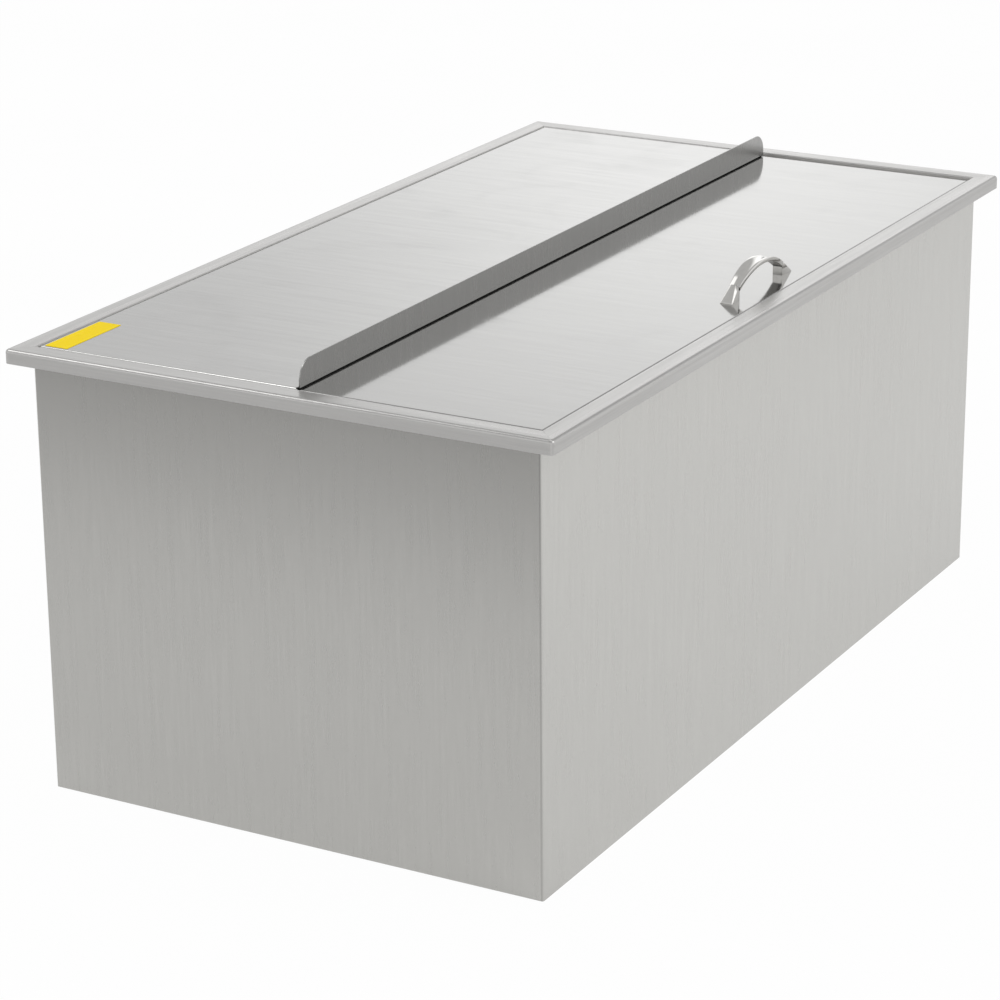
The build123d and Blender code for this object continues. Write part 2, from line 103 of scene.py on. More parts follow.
class ChestFinishes(bpy.types.PropertyGroup):
    """Colours of the chest's surfaces."""
    body_colour: FloatVectorProperty(
        name="Body", description="Brushed steel of the outer shell",
        default=(0.563, 0.557, 0.536), size=3, subtype="COLOR", min=0, max=1)
    rim_colour: FloatVectorProperty(
        name="Rim", description="Brushed steel of the rim and the ledge",
        default=(0.510, 0.504, 0.494), size=3, subtype="COLOR", min=0, max=1)
    cover_colour: FloatVectorProperty(
        name="Covers", description="Polished steel of the two covers",
        default=(0.398, 0.396, 0.388), size=3, subtype="COLOR", min=0, max=1)
    basin_colour: FloatVectorProperty(
        name="Basin", description="Steel of the inner basin",
        default=(0.720, 0.720, 0.712), size=3, subtype="COLOR", min=0, max=1)
    handle_colour: FloatVectorProperty(
        name="Handle", description="Satin nickel of the handle",
        default=(0.720, 0.710, 0.688), size=3, subtype="COLOR", min=0, max=1)
    label_colour: FloatVectorProperty(
        name="Label", description="Blank printed film of the label",
        default=(1.000, 0.740, 0.008), size=3, subtype="COLOR", min=0, max=1)
    foam_colour: FloatVectorProperty(
        name="Foam", description="Rigid foam of the insulation boards",
        default=(0.800, 0.700, 0.470), size=3, subtype="COLOR", min=0, max=1)
    rubber_colour: FloatVectorProperty(
        name="Rubber", description="Rubber of the stopper and the drain's gasket",
        default=(0.030, 0.030, 0.031), size=3, subtype="COLOR", min=0, max=1)
    nut_colour: FloatVectorProperty(
        name="Locknut", description="Moulded plastic of the drain's locknut",
        default=(0.520, 0.520, 0.505), size=3, subtype="COLOR", min=0, max=1)
    glide_colour: FloatVectorProperty(
        name="Glides", description="Nylon of the glides under the front cover",
        default=(0.760, 0.755, 0.720), size=3, subtype="COLOR", min=0, max=1)


class ChestDetails(bpy.types.PropertyGroup):
    """Sizes of the pieces that finish the chest."""
    handle_edge: FloatProperty(
        name="Handle edge", description="Width of the rounded edges of the handle",
        default=0.35 * MM, min=0.05 * MM, max=1 * MM, subtype="DISTANCE", unit="LENGTH", precision=5)
    bead_radius: FloatProperty(
        name="Bead", description="Radius of the beads at the handle's joints",
        default=0.9 * MM, min=0.3 * MM, max=1.5 * MM, subtype="DISTANCE", unit="LENGTH", precision=5)
    label_length: FloatProperty(
        name="Label length", description="Length of the blank label along the chest",
        default=77 * MM, min=20 * MM, max=200 * MM, subtype="DISTANCE", unit="LENGTH")
    label_width: FloatProperty(
        name="Label width", description="Width of the blank label",
        default=22 * MM, min=10 * MM, max=60 * MM, subtype="DISTANCE", unit="LENGTH")
    thread_pitch: FloatProperty(
        name="Thread pitch", description="Pitch of the threads on the drain",
        default=1.81 * MM, min=0.8 * MM, max=3 * MM, subtype="DISTANCE", unit="LENGTH", precision=5)
    edge_segments: IntProperty(
        name="Edge segments", description="Steps in each rounded edge", default=3, min=1, max=6)


class ChestStage(bpy.types.PropertyGroup):
    """Camera and lamps."""
    camera_place: FloatVectorProperty(
        name="Camera", description="Place of the camera",
        default=(-2.5859, -1.3960, 1.2020), size=3, subtype="TRANSLATION", unit="LENGTH")
    camera_azimuth: FloatProperty(
        name="Azimuth", description="Turn of the camera about the vertical",
        default=math.radians(-60.848), subtype="ANGLE", unit="ROTATION")
    camera_elevation: FloatProperty(
        name="Elevation", description="Angle at which the camera looks down",
        default=math.radians(19.519), subtype="ANGLE", unit="ROTATION")
    camera_roll: FloatProperty(
        name="Roll", description="Turn of the camera about its own line of sight",
        default=math.radians(-0.472), subtype="ANGLE", unit="ROTATION")
    lens: FloatProperty(
        name="Lens", description="Focal length on a 36 mm sensor, in millimetres",
        default=122.738, min=20, max=300)
    key_power: FloatProperty(
        name="Key lamp", description="Power of the large soft lamp at the front right",
        default=112.0, min=0, max=500, unit="POWER")
    back_power: FloatProperty(
        name="Back lamp", description="Power of the large soft lamp behind the chest",
        default=29.5, min=0, max=500, unit="POWER")
    top_power: FloatProperty(
        name="Top lamp", description="Power of the soft lamp above the chest",
        default=11.0, min=0, max=500, unit="POWER")
    rear_power: FloatProperty(
        name="Rear lamp", description="Power of the soft lamp high behind the chest's left end",
        default=26.0, min=0, max=500, unit="POWER")
    room_light: FloatProperty(
        name="Room light", description="Level of the even light of the room",
        default=0.62, min=0, max=2)


def deselect():
    """Leaves edit mode and selects nothing."""
    if bpy.context.object and bpy.context.object.mode != "OBJECT":
        bpy.ops.object.mode_set(mode="OBJECT")
    bpy.ops.object.select_all(action="DESELECT")


def take(obj):
    """Selects one object and makes it the active one."""
    deselect()
    obj.select_set(True)
    bpy.context.view_layer.objects.active = obj
    return obj


def named(name):
    """Names the object that the last operator added, with its place kept in its mesh."""
    obj = bpy.context.object
    bpy.ops.object.transform_apply(location=True, rotation=True, scale=True)
    obj.name = name
    obj.data.name = name
    return obj


def pick(obj, kind, wanted):
    """Selects, in edit mode, the vertices, edges or faces of the active mesh that pass a test."""
    mesh = bmesh.from_edit_mesh(obj.data)
    bpy.ops.mesh.select_all(action="DESELECT")
    bpy.context.tool_settings.mesh_select_mode = (kind == "VERT", kind == "EDGE", kind == "FACE")
    for item in {"VERT": mesh.verts, "EDGE": mesh.edges, "FACE": mesh.faces}[kind]:
        item.select = bool(wanted(item))
    mesh.select_flush_mode()
    bmesh.update_edit_mesh(obj.data)


def modified(obj, kind, **settings):
    """Adds a modifier with the given settings and applies it."""
    take(obj)
    modifier = obj.modifiers.new(kind.title(), kind)
    for key, value in settings.items():
        setattr(modifier, key, value)
    bpy.ops.object.modifier_apply(modifier=modifier.name)


def joined(name, pieces):
    """Joins pieces into one mesh."""
    deselect()
    for piece in pieces:
        piece.select_set(True)
    bpy.context.view_layer.objects.active = pieces[0]
    bpy.ops.object.join()
    pieces[0].name = name
    pieces[0].data.name = name
    return pieces[0]


def smooth(obj, angle=BEVEL_ANGLE):
    """Smooth shading with sharp edges past an angle."""
    take(obj)
    bpy.ops.object.shade_smooth_by_angle(angle=angle)


def refined_copy(node, name, width, segments):
    """A copy of a CAD node's form with its doubles merged and its sharp edges rounded."""
    piece = bpy.data.objects.new(name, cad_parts[node].data.copy())
    piece.data.name = name
    bpy.context.scene.collection.objects.link(piece)
    take(piece)
    bpy.ops.mesh.customdata_custom_splitnormals_clear()
    bpy.ops.object.mode_set(mode="EDIT")
    bpy.ops.mesh.select_all(action="SELECT")
    bpy.ops.mesh.remove_doubles(threshold=MERGE_DISTANCE)
    bpy.ops.mesh.dissolve_limited(angle_limit=FLAT_ANGLE)
    bpy.ops.object.mode_set(mode="OBJECT")
    modified(piece, "BEVEL", width=width, segments=segments, limit_method="ANGLE",
             angle_limit=BEVEL_ANGLE, use_clamp_overlap=True, harden_normals=False)
    smooth(piece)
    return piece


def dress(obj, material):
    """Gives a piece its material."""
    obj.data.materials.clear()
    obj.data.materials.append(material)


# Shader building

def new_group(name, outputs, vectors=("Place",), **values):
    """A node group's tree and sockets: it gives values, from vectors and from values with defaults."""
    group = bpy.data.node_groups.new(name, "ShaderNodeTree")
    for socket in vectors:
        group.interface.new_socket(name=socket, in_out="INPUT", socket_type="NodeSocketVector")
    for socket, default in values.items():
        made = group.interface.new_socket(name=socket, in_out="INPUT", socket_type="NodeSocketFloat")
        made.default_value = default
    for socket in outputs:
        group.interface.new_socket(name=socket, in_out="OUTPUT", socket_type="NodeSocketFloat")
    tree = Tree(group)
    return tree, tree.node("NodeGroupInput").outputs, tree.node("NodeGroupOutput").inputs


class Tree:
    """Short calls for adding and linking the nodes of one tree."""

    def __init__(self, tree):
        self.tree = tree

    def node(self, kind, **settings):
        made = self.tree.nodes.new(kind)
        for key, value in settings.items():
            setattr(made, key, value)
        return made

    def link(self, source, target):
        if isinstance(source, (int, float, tuple)):
            target.default_value = source
        else:
            self.tree.links.new(source, target)

    def math(self, operation, first, second=0.0, third=None):
        made = self.node("ShaderNodeMath", operation=operation)
        for source, target in zip((first, second, third), made.inputs):
            if source is not None:
                self.link(source, target)
        return made.outputs[0]

    def noise(self, vector, scale, detail=2.0, roughness=0.5):
        made = self.node("ShaderNodeTexNoise")
        self.link(vector, made.inputs["Vector"])
        made.inputs["Scale"].default_value = scale
        made.inputs["Detail"].default_value = detail
        made.inputs["Roughness"].default_value = roughness
        return made.outputs["Fac"]

    def ramp(self, value, low, high, out_low=0.0, out_high=1.0):
        made = self.node("ShaderNodeMapRange", interpolation_type="SMOOTHSTEP")
        for source, key in ((value, "Value"), (low, "From Min"), (high, "From Max"),
                            (out_low, "To Min"), (out_high, "To Max")):
            self.link(source, made.inputs[key])
        return made.outputs["Result"]

    def split(self, vector):
        made = self.node("ShaderNodeSeparateXYZ")
        self.link(vector, made.inputs[0])
        return made.outputs

    def stretched(self, vector, scale):
        made = self.node("ShaderNodeMapping")
        self.link(vector, made.inputs["Vector"])
        made.inputs["Scale"].default_value = scale
        return made.outputs["Vector"]


def grain_group():
    """Brushed grain: fine scratches, streaks, broad bands and slow cloudiness, as a tone and a height."""
    tree, given, out = new_group("brushed_grain", ["Tone", "Height"], vectors=("Place", "Stretched"),
                                 Streak=0.1, Cloud=CLOUD_TONE)
    fine = tree.noise(given["Stretched"], FINE_SCALE, roughness=0.6)
    streak = tree.noise(given["Stretched"], STREAK_SCALE)
    broad = tree.noise(given["Stretched"], BROAD_SCALE)
    cloud = tree.noise(given["Place"], CLOUD_SCALE, detail=3.0)
    lines = tree.math("ADD", broad, tree.math("ADD", fine, streak))
    lines = tree.math("SUBTRACT", lines, 3 * NOISE_MIDDLE)
    total = tree.math("MULTIPLY_ADD", lines, given["Streak"], 1.0)
    total = tree.math("MULTIPLY_ADD", tree.math("SUBTRACT", cloud, NOISE_MIDDLE), given["Cloud"], total)
    tree.link(total, out["Tone"])
    tree.link(tree.math("MULTIPLY_ADD", fine, FINE_SHARE, streak), out["Height"])


def smudge_group():
    """Faint wiped patches and fingermarks: a mask from 0 to 1."""
    tree, given, out = new_group("smudges", ["Mask"], Scale=9.0, Cover=0.5, Softness=0.25)
    blot = tree.node("ShaderNodeTexNoise")
    tree.link(given["Place"], blot.inputs["Vector"])
    tree.link(given["Scale"], blot.inputs["Scale"])
    blot.inputs["Detail"].default_value = 5.0
    blot.inputs["Distortion"].default_value = 1.2
    low = tree.math("SUBTRACT", 1.0, given["Cover"])
    high = tree.math("ADD", low, given["Softness"])
    tree.link(tree.ramp(blot.outputs["Fac"], low, high), out["Mask"])


def mitre_group():
    """The ground weld across the rim's corners: a mask along each 45 degree line."""
    tree, given, out = new_group("mitre_weld", ["Mask"], Width=0.4 * MM)
    place = tree.split(given["Place"])
    from_end = tree.math("SUBTRACT", CHEST_HIGH.x, tree.math("ABSOLUTE", place[0]))
    from_side = tree.math("SUBTRACT", CHEST_HIGH.y, tree.math("ABSOLUTE", place[1]))
    off_line = tree.math("ABSOLUTE", tree.math("SUBTRACT", from_end, from_side))
    tree.link(tree.ramp(off_line, 0.0, given["Width"], 1.0, 0.0), out["Mask"])


def uprights_group():
    """The rim's masks, where painted light and shade go: the walls of the recess, the upright lip outside and
    the fold above the lip.
    """
    past_wall = (0.2 * MM, 0.6 * MM)
    below_top = (1.2 * MM, 0.4 * MM)
    lip_inset = (0.3 * MM, 0.1 * MM)
    fold_shade_inset = (3.6 * MM, 2.6 * MM)
    tree, given, out = new_group("rim_uprights", ["Wall", "Lip", "Fold"])
    place = tree.split(given["Place"])
    from_middle = [tree.math("ABSOLUTE", value) for value in place[:2]]
    inside = tree.math("MULTIPLY", *(
        tree.ramp(value, edge + past_wall[0], edge + past_wall[1], 1.0, 0.0)
        for value, edge in zip(from_middle, (RECESS_END, RECESS_SIDE))))
    below = tree.ramp(place[2], RIM_TOP - below_top[0], RIM_TOP - below_top[1], 1.0, 0.0)
    tree.link(tree.math("MULTIPLY", inside, below), out["Wall"])
    lip, bend = (tree.math("MAXIMUM", *(
        tree.ramp(value, edge - start, edge - end) for value, edge in zip(from_middle, CHEST_HIGH.xy)))
        for start, end in (lip_inset, fold_shade_inset))
    tree.link(lip, out["Lip"])
    tree.link(tree.math("SUBTRACT", bend, lip), out["Fold"])


def seam_group():
    """The closed seams at the shell's front upright corners: a mask of a thin line on its ends."""
    line_inset = 1.5 * MM
    line_core = 0.4 * MM
    end_inset = (1.5 * MM, 1.0 * MM)
    tree, given, out = new_group("corner_seam", ["Mask"], Width=1.2 * MM)
    place = tree.split(given["Place"])
    off_line = tree.math("ABSOLUTE", tree.math("ADD", place[1], SHELL_HIGH.y - line_inset))
    on_line = tree.ramp(off_line, line_core, given["Width"], 1.0, 0.0)
    on_end = tree.ramp(tree.math("ABSOLUTE", place[0]), *(SHELL_HIGH.x - inset for inset in end_inset))
    tree.link(tree.math("MULTIPLY", on_line, on_end), out["Mask"])


def grip_group():
    """The rear cover's masks: the upturned grip, and a painted highlight along the bends at the cover's ends.
    """
    grip_rise = (0.2 * MM, 1.5 * MM)
    flat_rise = (0.1 * MM, 0.3 * MM)
    highlight_inset = (1.6 * MM, 2.4 * MM)
    tree, given, out = new_group("grip_face", ["Grip", "Bend"])
    place = tree.split(given["Place"])
    tree.link(tree.ramp(place[2], RIM_TOP + grip_rise[0], RIM_TOP + grip_rise[1]), out["Grip"])
    from_end = tree.math("SUBTRACT", REAR_HIGH.x, tree.math("ABSOLUTE", place[0]))
    flat = tree.ramp(place[2], RIM_TOP + flat_rise[0], RIM_TOP + flat_rise[1], 1.0, 0.0)
    tree.link(tree.math("MULTIPLY", flat, tree.ramp(from_end, *highlight_inset, 1.0, 0.0)), out["Bend"])


def joint_shade_group():
    """Painted shade in the gaps between the handle's bow and its ends: a mask along each slanted joint plane.
    """
    line_core = 0.1 * MM
    tree, given, out = new_group("handle_joints", ["Mask"], Width=0.5 * MM)
    place = tree.split(given["Place"])
    out_from_foot = tree.math("SUBTRACT", tree.math("ABSOLUTE", place[0]), BOW_FOOT.x)
    above_foot = tree.math("SUBTRACT", place[2], BOW_FOOT.z)
    off_plane = tree.math("SUBTRACT", tree.math("MULTIPLY", out_from_foot, JOINT_NORMAL[0]),
                          tree.math("MULTIPLY", above_foot, JOINT_NORMAL[1]))
    tree.link(tree.ramp(tree.math("ABSOLUTE", off_plane), line_core, given["Width"], 1.0, 0.0), out["Mask"])


def pores_group():
    """The open cells of cut foam, or the grit of moulded rubber: a tone and a height."""
    cell_middle = 0.4
    cloud_scale = 14.0
    cloud_tone = 0.12
    tree, given, out = new_group("pores", ["Tone", "Height"], Scale=900.0, Depth=0.2)
    cells = tree.node("ShaderNodeTexVoronoi")
    tree.link(given["Place"], cells.inputs["Vector"])
    tree.link(given["Scale"], cells.inputs["Scale"])
    height = cells.outputs["Distance"]
    dark = tree.math("MULTIPLY", tree.math("SUBTRACT", height, cell_middle), given["Depth"])
    cloud = tree.noise(given["Place"], cloud_scale, detail=4.0)
    cloud = tree.math("MULTIPLY_ADD", cloud, cloud_tone, 1.0 - cloud_tone / 2)
    tree.link(tree.math("ADD", cloud, dark), out["Tone"])
    tree.link(height, out["Height"])


def new_material(name):
    """An empty node material, with its tree, its shader and the object's own coordinates."""
    material = bpy.data.materials.new(PREFIX + name)
    material.use_nodes = True
    tree = Tree(material.node_tree)
    shader = material.node_tree.nodes["Principled BSDF"]
    place = tree.node("ShaderNodeTexCoord").outputs["Object"]
    return material, tree, shader, place


def use_group(tree, group, **values):
    """Places a group in a tree and fills its inputs."""
    made = tree.node("ShaderNodeGroup")
    made.node_tree = bpy.data.node_groups[group]
    for key, value in values.items():
        tree.link(value, made.inputs[key])
    return made.outputs


def tinted(tree, colour, tone):
    """A colour multiplied by a tone."""
    made = tree.node("ShaderNodeMix", data_type="RGBA", blend_type="MULTIPLY")
    made.inputs["Factor"].default_value = 1.0
    made.inputs["A"].default_value = (*colour, 1.0)
    combined = tree.node("ShaderNodeCombineColor")
    for socket in combined.inputs[:3]:
        tree.link(tone, socket)
    tree.link(combined.outputs[0], made.inputs["B"])
    return made.outputs["Result"]


def bumped(tree, height, strength, distance):
    """A bump normal from a height."""
    made = tree.node("ShaderNodeBump")
    made.inputs["Strength"].default_value = strength
    made.inputs["Distance"].default_value = distance
    tree.link(height, made.inputs["Height"])
    return made.outputs["Normal"]


def marked(tree, surface, mask, change):
    """A surface's tone and roughness, with a change added to each of them where a mask is 1."""
    return tuple(tree.math("MULTIPLY_ADD", mask, step, value) if step else value
                 for value, step in zip(surface, change))


def brushed_steel(name, colour, grain, run, metallic, roughness, streaks, depth, level=1.0, marks=None):
    """Steel brushed along the axes in grain, with a run, a strength of streaks and a depth of scratches."""
    material, tree, shader, place = new_material(name)
    along = tree.stretched(place, tuple(run if axis in grain else 1.0 for axis in "xyz"))
    brushed = use_group(tree, "brushed_grain", Place=place, Stretched=along, Streak=streaks)
    lighter = tree.math("SUBTRACT", brushed["Tone"], 1.0)
    surface = (tree.math("MULTIPLY", brushed["Tone"], level),
               tree.math("MULTIPLY_ADD", lighter, -STREAK_POLISH, roughness))
    for group, changes in (marks or {}).items():
        masks = use_group(tree, group, Place=place)
        for mask, change in changes.items():
            surface = marked(tree, surface, masks[mask], change)
    tree.link(tinted(tree, colour, surface[0]), shader.inputs["Base Color"])
    tree.link(surface[1], shader.inputs["Roughness"])
    shader.inputs["Metallic"].default_value = metallic
    tree.link(bumped(tree, brushed["Height"], 1.0, depth), shader.inputs["Normal"])


def moulded(name, colour, roughness, scale, depth, bump):
    """Foam, rubber or plastic with a fine cell or grit."""
    material, tree, shader, place = new_material(name)
    pores = use_group(tree, "pores", Place=place, Scale=scale, Depth=depth)
    tree.link(tinted(tree, colour, pores["Tone"]), shader.inputs["Base Color"])
    lighter = tree.math("SUBTRACT", pores["Tone"], 1.0)
    tree.link(tree.math("MULTIPLY_ADD", lighter, -PORE_POLISH, roughness), shader.inputs["Roughness"])
    tree.link(bumped(tree, pores["Height"], bump, PORE_DEPTH), shader.inputs["Normal"])


def material_named(name):
    """A material that an earlier operator made."""
    material = bpy.data.materials.get(PREFIX + name)
    if material is None:
        raise RuntimeError(f"the material {name} isn't there: run Finishes first")
    return material


# What each mark adds to the tone and to the roughness of the steel under it
WELD = {"Mask": (-0.12, 0.12)}
# Painted light in the shaded recess: its walls get a lighter tone than the rim above them, and a rougher
# finish
PAINTED_WALL_LIGHT = (0.45, 0.30)
WIPED = {"Mask": (-0.0125, 0.05)}
# The lip mark paints light and shade by side: the lip is painted darker on the long strips and lighter on the
# short ones
LONG_RIM_MARKS = {
    "mitre_weld": WELD,
    # The fold mark paints a dark reflection line just inside the outer fold of the long strips
    "rim_uprights": {"Wall": PAINTED_WALL_LIGHT, "Lip": (-0.08, 0.16), "Fold": (-0.15, 0.0)},
}
SHORT_RIM_MARKS = {
    "mitre_weld": WELD,
    "rim_uprights": {"Wall": PAINTED_WALL_LIGHT, "Lip": (0.22, 0.16)},
}
SHELL_MARKS = {"corner_seam": {"Mask": (-0.19, 0.0)}}
BASIN_MARKS = {"smudges": WIPED}
# On the rear cover the bend mark paints a highlight, a much lighter tone, along the bends at its ends
REAR_COVER_MARKS = {"smudges": WIPED, "grip_face": {"Grip": (0.0, 0.14), "Bend": (0.6, 0.0)}}
FRONT_COVER_MARKS = {"smudges": {"Mask": (-0.01, 0.04)}}
# The handle's joint mark is painted shade, nearly black, standing in for the gaps between the bow and its
# ends
HANDLE_MARKS = {"handle_joints": {"Mask": (-0.85, 0.0)}}

# Each brushed finish: the property that holds its colour, and how it is made
STEELS = {
    # The long strips' level, above the short strips', is painted light that makes that side lighter
    "rim_steel_long": ("rim_colour", dict(
        grain="x", run=0.015, metallic=0.9, roughness=0.30, streaks=0.16, depth=0.07 * MM,
        level=1.08, marks=LONG_RIM_MARKS)),
    "rim_steel_short": ("rim_colour", dict(
        grain="y", run=0.015, metallic=0.9, roughness=0.30, streaks=0.16, depth=0.07 * MM,
        level=1.03, marks=SHORT_RIM_MARKS)),
    "shell_steel": ("body_colour", dict(
        grain="z", run=0.05, metallic=0.85, roughness=0.26, streaks=0.075, depth=0.012 * MM,
        marks=SHELL_MARKS)),
    "pan_steel": ("body_colour", dict(
        grain="x", run=0.03, metallic=0.6, roughness=0.40, streaks=0.20, depth=0.03 * MM)),
    "basin_steel": ("basin_colour", dict(
        grain="z", run=0.03, metallic=0.85, roughness=0.30, streaks=0.16, depth=0.03 * MM,
        marks=BASIN_MARKS)),
    "rear_cover_steel": ("cover_colour", dict(
        grain="yz", run=0.03, metallic=0.92, roughness=0.14, streaks=0.10, depth=0.006 * MM,
        marks=REAR_COVER_MARKS)),
    "front_cover_steel": ("cover_colour", dict(
        grain="yz", run=0.03, metallic=0.92, roughness=0.09, streaks=0.08, depth=0.003 * MM,
        marks=FRONT_COVER_MARKS)),
    "stiffener_steel": ("basin_colour", dict(
        grain="x", run=0.03, metallic=0.9, roughness=0.35, streaks=0.15, depth=0.02 * MM)),
    "drain_steel": ("basin_colour", dict(
        grain="x", run=0.1, metallic=1.0, roughness=0.18, streaks=0.10, depth=0.004 * MM)),
    "screw_steel": ("basin_colour", dict(
        grain="x", run=0.1, metallic=1.0, roughness=0.22, streaks=0.10, depth=0.004 * MM)),
    "handle_nickel": ("handle_colour", dict(
        grain="x", run=0.03, metallic=1.0, roughness=0.10, streaks=0.14, depth=0.004 * MM,
        marks=HANDLE_MARKS)),
}

# Each moulded finish: the property that holds its colour, and how it is made
MOULDINGS = {
    "foam": ("foam_colour", dict(roughness=0.95, scale=650.0, depth=0.30, bump=0.5)),
    "black_rubber": ("rubber_colour", dict(roughness=0.62, scale=2200.0, depth=0.10, bump=0.15)),
    "nut_plastic": ("nut_colour", dict(roughness=0.45, scale=1800.0, depth=0.08, bump=0.08)),
    "white_nylon": ("glide_colour", dict(roughness=0.38, scale=1600.0, depth=0.08, bump=0.06)),
}

# Which finish each CAD node takes
NODE_FINISHES = {
    "rim_steel_long": ("rim_front", "rim_back", "ledge_front", "ledge_back"),
    "rim_steel_short": ("rim_left", "rim_right", "ledge_left", "ledge_right"),
    "shell_steel": ("outer_shell",),
    "pan_steel": ("bottom_pan",),
    "basin_steel": ("inner_basin",),
    "rear_cover_steel": ("rear_cover", "rear_cover_edges"),
    "front_cover_steel": ("front_cover", "front_cover_edges"),
    "stiffener_steel": ("front_cover_stiffener",),
    "drain_steel": ("drain_body", "drain_strainer"),
    "screw_steel": ("handle_screws", "handle_washers"),
    "handle_nickel": ("handle_bow", "handle_end_left", "handle_end_right"),
    "foam": ("insulation_front", "insulation_back", "insulation_left", "insulation_right", "insulation_base"),
    "black_rubber": ("drain_plug", "drain_gasket"),
    "nut_plastic": ("drain_locknut",),
    "white_nylon": ("front_cover_glides",),
}


class CHEST_OT_finishes(bpy.types.Operator):
    """Make every material and give each CAD node its own"""
    bl_idname = "chest.finishes"
    bl_label = "Finishes"

    def execute(self, context):
        colours = context.scene.chest_finishes
        for build in (grain_group, smudge_group, mitre_group, uprights_group, seam_group, grip_group,
                      joint_shade_group, pores_group):
            build()
        for name, (colour, settings) in STEELS.items():
            brushed_steel(name, getattr(colours, colour), **settings)
        for name, (colour, settings) in MOULDINGS.items():
            moulded(name, getattr(colours, colour), **settings)
        for finish, nodes in NODE_FINISHES.items():
            for node in nodes:
                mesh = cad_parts[node].data
                mesh.materials.clear()
                mesh.materials.append(material_named(finish))
        return {"FINISHED"}


class CHEST_OT_handle(bpy.types.Operator):
    """Round the edges of the handle's bow and ends, and set the beads in its joints"""
    bl_idname = "chest.handle"
    bl_label = "Handle"

    bead_inset = 1.0 * MM
    bead_spread = 1.25 * MM
    bead_forward = 1.5 * MM
    bead_rise = 0.25 * MM
    bead_form = (0.85, 1.0, 0.8)

    def bead(self, side, hand, radius):
        """One bead: side picks the end of the bow, and hand the front or the back of its joint."""
        middle_y = (BOW_LOW.y + BOW_HIGH.y) / 2
        place = (side * (BOW_FOOT.x - self.bead_inset),
                 middle_y + hand * self.bead_spread - self.bead_forward, BOW_FOOT.z + self.bead_rise)
        deselect()
        bpy.ops.mesh.primitive_uv_sphere_add(segments=20, ring_count=12, radius=radius, location=place)
        bead = named("bead")
        bpy.ops.object.mode_set(mode="EDIT")
        bpy.ops.mesh.select_all(action="SELECT")
        bpy.ops.transform.resize(value=self.bead_form, center_override=place)
        bpy.ops.object.mode_set(mode="OBJECT")
        return bead

    def execute(self, context):
        details = context.scene.chest_details
        nickel = material_named("handle_nickel")
        for node in ("handle_bow", "handle_end_left", "handle_end_right"):
            piece = refined_copy(node, node + "_fine", details.handle_edge, details.edge_segments)
            dress(piece, nickel)
            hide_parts(node)
            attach(piece, "front_lid")
        piece = joined("handle_beads", [self.bead(side, hand, details.bead_radius)
                                        for side in (-1, 1) for hand in (-1, 1)])
        smooth(piece)
        dress(piece, material_named("drain_steel"))
        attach(piece, "front_lid")
        return {"FINISHED"}


class CHEST_OT_grip(bpy.types.Operator):
    """Press the bend at the foot of the rear cover's grip to a tight corner"""
    bl_idname = "chest.grip"
    bl_label = "Grip"

    sheet = 1.2 * MM
    bend = 1.5 * MM
    pressed = 0.8 * MM
    edge = 0.12 * MM
    slack = sheet / 9
    reach = 0.1 * MM

    def execute(self, context):
        piece = refined_copy("rear_cover", "rear_cover_fine", self.edge, 1)
        radius = self.bend + self.sheet
        corner = Vector((0, REAR_LOW.y, RIM_TOP - self.sheet))
        middle = corner + Vector((0, radius, radius))

        def on_bend(vertex):
            off = vertex.co - middle
            off_arc = abs(math.hypot(off.y, off.z) - radius)
            return off.y < self.slack and off.z < self.slack and off_arc < self.reach

        take(piece)
        bpy.ops.object.mode_set(mode="EDIT")
        pick(piece, "VERT", on_bend)
        if not any(vertex.select for vertex in bmesh.from_edit_mesh(piece.data).verts):
            raise RuntimeError("the bend at the grip's foot wasn't found")
        factor = self.pressed / radius
        bpy.ops.transform.resize(value=(1, factor, factor), center_override=corner)
        bpy.ops.object.mode_set(mode="OBJECT")
        smooth(piece)
        dress(piece, material_named("rear_cover_steel"))
        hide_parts("rear_cover")
        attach(piece, "rear_lid")
        return {"FINISHED"}


class CHEST_OT_label(bpy.types.Operator):
    """Lay the blank label on the rear cover"""
    bl_idname = "chest.label"
    bl_label = "Label"

    from_end = 2.0 * MM
    from_back = 3.5 * MM
    thickness = 0.25 * MM
    corner = 0.8 * MM
    border = 0.12 * MM
    crown = 0.02 * MM

    def execute(self, context):
        details = context.scene.chest_details
        length, width = details.label_length, details.label_width
        place = Vector((REAR_LOW.x + self.from_end + length / 2, REAR_HIGH.y - self.from_back - width / 2,
                        RIM_TOP + self.thickness / 2))
        deselect()
        bpy.ops.mesh.primitive_cube_add(size=1, location=place, scale=(length, width, self.thickness))
        label = named("blank_label")
        bpy.ops.object.mode_set(mode="EDIT")
        pick(label, "EDGE", lambda edge: abs(edge.verts[0].co.z - edge.verts[1].co.z) > self.thickness / 2)
        bpy.ops.mesh.bevel(offset=self.corner, segments=4, affect="EDGES")
        pick(label, "FACE", lambda face: face.normal.z > 0.9)
        bpy.ops.mesh.inset(thickness=self.border, depth=0)
        bpy.ops.transform.translate(value=(0, 0, self.crown))
        bpy.ops.object.mode_set(mode="OBJECT")
        material, tree, shader, spot = new_material("label_film")
        pores = use_group(tree, "pores", Place=spot, Scale=1500.0, Depth=0.03)
        tree.link(tinted(tree, context.scene.chest_finishes.label_colour, pores["Tone"]),
                  shader.inputs["Base Color"])
        shader.inputs["Roughness"].default_value = 0.5
        shader.inputs["Specular IOR Level"].default_value = 0.05
        tree.link(bumped(tree, pores["Height"], 0.05, 0.02 * MM), shader.inputs["Normal"])
        label.data.materials.append(material)
        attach(label, "rear_lid")
        return {"FINISHED"}


